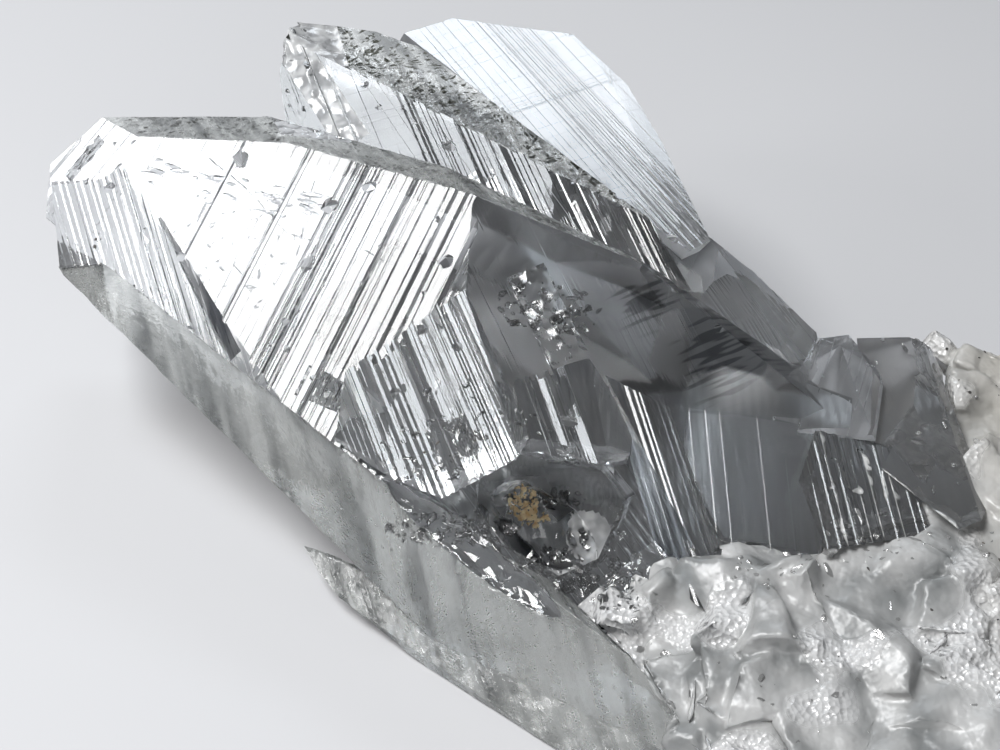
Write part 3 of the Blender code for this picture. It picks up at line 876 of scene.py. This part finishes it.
def frosted_quartz():
    mat, tree, shader = quartz("frosted_quartz", 0.75)
    where = node(tree, "ShaderNodeUVMap", uv_map="growth").outputs[0]
    drawn = node(tree, "ShaderNodeMapping", in_0=where, in_3=(1.3, 0.32, 1.0)).outputs[0]
    ripple = node(tree, "ShaderNodeTexNoise", noise_dimensions="2D", in_Vector=drawn,
                  in_Scale=1.0, in_Detail=2.0, in_Roughness=0.5).outputs["Fac"]
    drawn = node(tree, "ShaderNodeMapping", in_0=where, in_3=(0.6, 0.06, 1.0)).outputs[0]
    veil = node(tree, "ShaderNodeTexNoise", noise_dimensions="2D", in_Vector=drawn,
                in_Scale=1.0, in_Detail=2.0).outputs["Fac"]
    cloud = noise_in_mm(tree, 9.0, 2.0)
    streak = ramp(tree, veil, 0.38, 0.58, -0.34, 0.25)
    share = math_node(tree, "ADD", ramp(tree, cloud, 0.3, 0.65, 0.25, 1.0), streak, clamp=True)
    pale = mix_colour(tree, share, (0.20, 0.21, 0.21), (0.86, 0.88, 0.86))
    # painted shade from the faces darkens the base colour
    painted_shade = node(tree, "ShaderNodeAttribute", attribute_name="painted_shade").outputs["Fac"]
    mottle = noise_in_mm(tree, 1.5, 2.0)
    painted_shade = math_node(tree, "MULTIPLY", painted_shade, ramp(tree, mottle, 0.35, 0.62, 0.5, 1.2),
                      clamp=True)
    tree.links.new(mix_colour(tree, painted_shade, pale, (0.03, 0.03, 0.02)),
                   shader.inputs["Base Color"])
    tree.links.new(ramp(tree, ripple, 0.35, 0.65, 0.30, 0.14), shader.inputs["Roughness"])
    tree.links.new(bump(tree, ripple, 0.20), shader.inputs["Normal"])
    return mat


def milky_quartz():
    """Milky glass with grey windows and bright granular breaks."""
    mat, tree, shader = quartz("milky_quartz", 0.50)
    where = node(tree, "ShaderNodeTexCoord").outputs["Object"]
    cloud = noise_in_mm(tree, 5.0, 2.0)
    grains = node(tree, "ShaderNodeTexVoronoi", in_Vector=where, in_Scale=1900.0
                  ).outputs["Distance"]
    patch = ramp(tree, noise_in_mm(tree, 7.5), 0.52, 0.60)
    white = mix_colour(tree, ramp(tree, cloud, 0.34, 0.62), (0.30, 0.31, 0.31),
                       (0.72, 0.72, 0.71))
    white = mix_colour(tree, patch, white, (0.97, 0.97, 0.97))
    east = node(tree, "ShaderNodeSeparateXYZ", in_0=where).outputs[0]
    tree.links.new(mix_colour(tree, ramp(tree, east, 0.034, 0.044, 0.0, 0.75), white,
                              (0.93, 0.87, 0.76)), shader.inputs["Base Color"])
    tree.links.new(ramp(tree, patch, 0.0, 1.0, 0.34, 0.12), shader.inputs["Roughness"])
    fine = noise_in_mm(tree, 0.9, 1.0)
    height = weigh(tree, (math_node(tree, "MULTIPLY", grains, patch), 0.26), (fine, 0.12))
    tree.links.new(bump(tree, height, 1.0), shader.inputs["Normal"])
    return mat


def snapped_quartz():
    """The light, crumbly break where the rear crystal snapped off."""
    mat, tree, shader = quartz("snapped_quartz", 0.60)
    cloud = noise_in_mm(tree, 1.4, 1.0)
    tree.links.new(mix_colour(tree, ramp(tree, cloud, 0.38, 0.6), (0.58, 0.59, 0.60),
                              (0.96, 0.97, 0.97)), shader.inputs["Base Color"])
    tree.links.new(ramp(tree, cloud, 0.4, 0.6, 0.10, 0.22), shader.inputs["Roughness"])
    tree.links.new(bump(tree, cloud, 0.12), shader.inputs["Normal"])
    return mat


def sawn_quartz():
    """The ground foot, grey and full of saw marks."""
    mat, tree, shader = quartz("sawn_quartz", 0.6)
    cloud = noise_in_mm(tree, 12.0, 2.0)
    tree.links.new(mix_colour(tree, cloud, (0.16, 0.17, 0.18), (0.42, 0.43, 0.44)),
                   shader.inputs["Base Color"])
    where = node(tree, "ShaderNodeTexCoord").outputs["Object"]
    saw = node(tree, "ShaderNodeTexWave", in_Vector=where, in_Scale=330.0, in_Distortion=0.6,
               in_Detail=0.0).outputs["Fac"]
    tree.links.new(ramp(tree, saw, 0.0, 1.0, 0.28, 0.42), shader.inputs["Roughness"])
    tree.links.new(bump(tree, saw, 0.02), shader.inputs["Normal"])
    return mat


for mat in (clear_quartz(), frosted_quartz(), milky_quartz(), sawn_quartz(),
            snapped_quartz()):
    crystals.data.materials.append(mat)
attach(crystals, "root")
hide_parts("quartz_cluster")


# ---------------------------------------------------------------- chips and grains
GLINT = facing(-116, 57)      # a face turned this way shows the key light to the camera


def model_chip(rng, cuts):
    """One sharp splinter of about unit size: a ball with flat faces broken off it."""
    bpy.ops.object.select_all(action="DESELECT")
    bpy.ops.mesh.primitive_ico_sphere_add(subdivisions=1, radius=1.0)
    chip = bpy.context.object
    bpy.ops.object.mode_set(mode="EDIT")
    for number in range(cuts):
        way = facing(rng.uniform(0, 360), 90 if number == 0 else rng.uniform(-60, 60))
        bpy.ops.mesh.select_all(action="SELECT")
        bpy.ops.mesh.bisect(plane_co=way * rng.uniform(0.25, 0.7), plane_no=way,
                            use_fill=True, clear_outer=True)
    bpy.ops.object.mode_set(mode="OBJECT")
    return chip


ABOVE, IN_FRONT = Vector((0, 0, -1)), Vector((0, 0.788, -0.616))


def strew(name, rng, patches, small, large, mat, cuts=4, sink=0.35, stretch=1.9, bright=0.0,
          way=ABOVE):
    """Copies of a few chips, half sunk in the crystals over oval patches. A share of them
    lies with the flat face turned to the glint of the key light."""
    kinds = [model_chip(rng, cuts) for _ in range(5)]
    made = []
    for (x, y), (half_x, half_y), count in patches:
        for _ in range(count):
            turn, out = rng.uniform(0, 2 * math.pi), math.sqrt(rng.random())
            above = spot(x + half_x * out * math.cos(turn), y + half_y * out * math.sin(turn), 10)
            hit, at, normal, _ = crystals.ray_cast(above - way * 60 * MM, way)
            size = small + (large - small) * rng.random() ** 2
            if not hit:
                continue
            one = bpy.data.objects.new(name, rng.choice(kinds).data.copy())
            bpy.context.scene.collection.objects.link(one)
            shape = Matrix.Diagonal((rng.uniform(1.0, stretch), rng.uniform(0.6, 1.0),
                                     rng.uniform(0.5, 0.9), 1.0))
            if rng.random() < bright:
                shape[2][2] *= 0.5
                normal = (GLINT + Vector([rng.uniform(-0.1, 0.1) for _ in range(3)])).normalized()
                tip = 0.0
            else:
                tip = rng.uniform(-0.5, 0.5)
            lie = normal.to_track_quat("Z", "Y").to_matrix().to_4x4() @ Matrix.Rotation(
                rng.uniform(0, ROUND), 4, "Z") @ Matrix.Rotation(tip, 4, "X")
            one.data.transform(Matrix.Translation(at - normal * size * sink * MM) @ lie
                               @ shape @ Matrix.Scale(size * MM, 4))
            made.append(one)
    for kind in kinds:
        bpy.data.objects.remove(kind, do_unlink=True)
    whole = join(made)
    whole.name = name
    whole.data.materials.clear()
    whole.data.materials.append(mat)
    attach(whole, "root")


def chip_quartz(name, transmission, colour):
    mat, tree, shader = quartz(name, transmission)
    cloud = noise_in_mm(tree, 1.6)
    tree.links.new(mix_colour(tree, cloud, colour, (0.95, 0.95, 0.95)),
                   shader.inputs["Base Color"])
    tree.links.new(ramp(tree, cloud, 0.35, 0.65, 0.03, 0.18), shader.inputs["Roughness"])
    tree.links.new(bump(tree, noise_in_mm(tree, 0.4), 0.03), shader.inputs["Normal"])
    return mat


def stain(name, dark, light):
    mat = bpy.data.materials.new(name)
    mat.use_nodes = True
    tree = mat.node_tree
    shader = tree.nodes["Principled BSDF"]
    cloud = noise_in_mm(tree, 0.5, 2.0)
    tree.links.new(mix_colour(tree, ramp(tree, cloud, 0.3, 0.7), dark, light),
                   shader.inputs["Base Color"])
    shader.inputs["Roughness"].default_value = 0.7
    tree.links.new(bump(tree, cloud, 0.05), shader.inputs["Normal"])
    return mat


glassy = chip_quartz("glassy_chips", 0.95, (0.75, 0.77, 0.79))
milky_chip = chip_quartz("milky_chips", 0.8, (0.60, 0.60, 0.59))
strew("glassy_chips", random.Random(21), (
    ((-6.0, -8.0), (5.0, 3.0), 90), ((1.0, -5.6), (3.6, 1.6), 24), ((8.5, -13.5), (4.0, 3.0), 30),
    ((4.4, 5.0), (4.8, 1.9), 90), ((-20.0, 37.0), (2.0, 5.5), 24), ((6.5, -16.5), (2.5, 2.5), 24),
    ((-4.0, -3.5), (3.0, 2.0), 16), ((-38.0, 25.0), (4.0, 3.5), 10)), 0.14, 0.55, glassy,
      bright=0.4)
strew("root_chips", random.Random(22), (
    ((24.0, -16.5), (5.0, 3.0), 46), ((33.0, -14.0), (6.0, 2.5), 40), ((45, -15), (5, 4), 30),
    ((29, -26), (17, 10), 60), ((42, -2), (8, 12), 26), ((12, -20), (4, 3), 20)),
      0.16, 0.62, milky_chip, bright=0.45)
strew("iron_stain", random.Random(23), (((2.0, -5.6), (1.3, 2.6), 90),
                                        ((3.0, -8.0), (1.4, 1.4), 40)), 0.12, 0.36,
      stain("iron_stain", (0.62, 0.40, 0.18), (0.97, 0.84, 0.56)), 3, 0.1, 1.3, way=IN_FRONT)
strew("bright_ledges", random.Random(25), (
    ((7.4, -9.6), (0.7, 1.8), 7), ((6.4, -15.8), (1.7, 1.0), 9), ((-0.6, -8.6), (1.2, 1.6), 8)),
      0.6, 1.25, glassy, 4, 0.5, 2.0, 0.85, IN_FRONT)
strew("hollow_rubble", random.Random(26), (
    ((-5.5, -9.0), (4.6, 2.4), 120), ((4.5, -13.6), (3.0, 1.4), 50), ((4.2, -4.8), (3.6, 1.0), 40),
    ((10.0, -17.0), (3.0, 2.4), 50)), 0.15, 0.50, glassy, 4, 0.3, 1.7, 0.3, IN_FRONT)
strew("dark_specks", random.Random(24), (
    ((45, 5), (6, 5), 18), ((35, -20), (14, 10), 16), ((-38.6, 18.0), (0.5, 0.5), 5),
    ((-5.0, -9.0), (5.0, 2.0), 14)), 0.10, 0.24,
      stain("dark_specks", (0.02, 0.02, 0.02), (0.10, 0.09, 0.08)), 3, 0.1, 1.3)


# ---------------------------------------------------------------- floor, lights and camera
bpy.ops.object.select_all(action="DESELECT")
bpy.ops.mesh.primitive_plane_add(size=1.6, location=(0, 0, -0.0002))
floor = bpy.context.object
floor.name = "floor"
paper = bpy.data.materials.new("pale_paper")
paper.use_nodes = True
shader = paper.node_tree.nodes["Principled BSDF"]
shader.inputs["Base Color"].default_value = (0.50, 0.50, 0.51, 1)
shader.inputs["Roughness"].default_value = 0.75
floor.data.materials.append(paper)


LAMP_DISTANCE = 0.5
AIM = Vector((-10, -2, 15)) * MM


def softbox(name, towards, width, height, radiance, colour=(1, 1, 1)):
    """A soft lamp that fills width by height degrees as seen from the crystals."""
    way = Vector(towards).normalized()
    lamp = bpy.data.lights.new(name, "AREA")
    lamp.shape = "RECTANGLE"
    lamp.size = 2 * LAMP_DISTANCE * math.tan(math.radians(width / 2))
    lamp.size_y = 2 * LAMP_DISTANCE * math.tan(math.radians(height / 2))
    lamp.energy = radiance * math.pi * lamp.size * lamp.size_y
    lamp.color = colour
    obj = bpy.data.objects.new(name, lamp)
    bpy.context.scene.collection.objects.link(obj)
    obj.location = AIM + way * LAMP_DISTANCE
    obj.rotation_euler = way.to_track_quat("Z", "Y").to_euler()
    obj.visible_camera = False
    return obj


softbox("key", (-0.42, -0.17, 0.89), 24, 24, 19)
softbox("key_rear", (-0.38, 0.12, 0.92), 15, 15, 13, (0.92, 0.96, 1.0))
softbox("back", (0.04, 0.70, 0.71), 20, 10, 7, (0.86, 0.93, 1.0))
softbox("left", (-0.87, -0.27, 0.42), 12, 20, 10)
softbox("far_left", (-0.76, 0.60, 0.27), 10, 12, 9)
softbox("front_low", (0.10, -0.92, 0.38), 36, 18, 3.0)

world = bpy.data.worlds.new("studio")
bpy.context.scene.world = world
world.use_nodes = True
world.node_tree.nodes["Background"].inputs["Color"].default_value = (0.06, 0.063, 0.07, 1)

lens = bpy.data.cameras.new("camera")
lens.lens = 65
lens.sensor_width = 36
lens.clip_start = 0.005
camera = bpy.data.objects.new("camera", lens)
bpy.context.scene.collection.objects.link(camera)
camera.location = Vector((-5.0712, -134.387, 118.506)) * MM
camera.rotation_euler = (math.radians(52), 0, 0)
bpy.context.scene.camera = camera
bpy.context.scene.view_settings.view_transform = "Standard"
bpy.context.scene.cycles.max_bounces = 7
bpy.context.scene.cycles.transmission_bounces = 7
bpy.context.scene.cycles.caustics_refractive = False
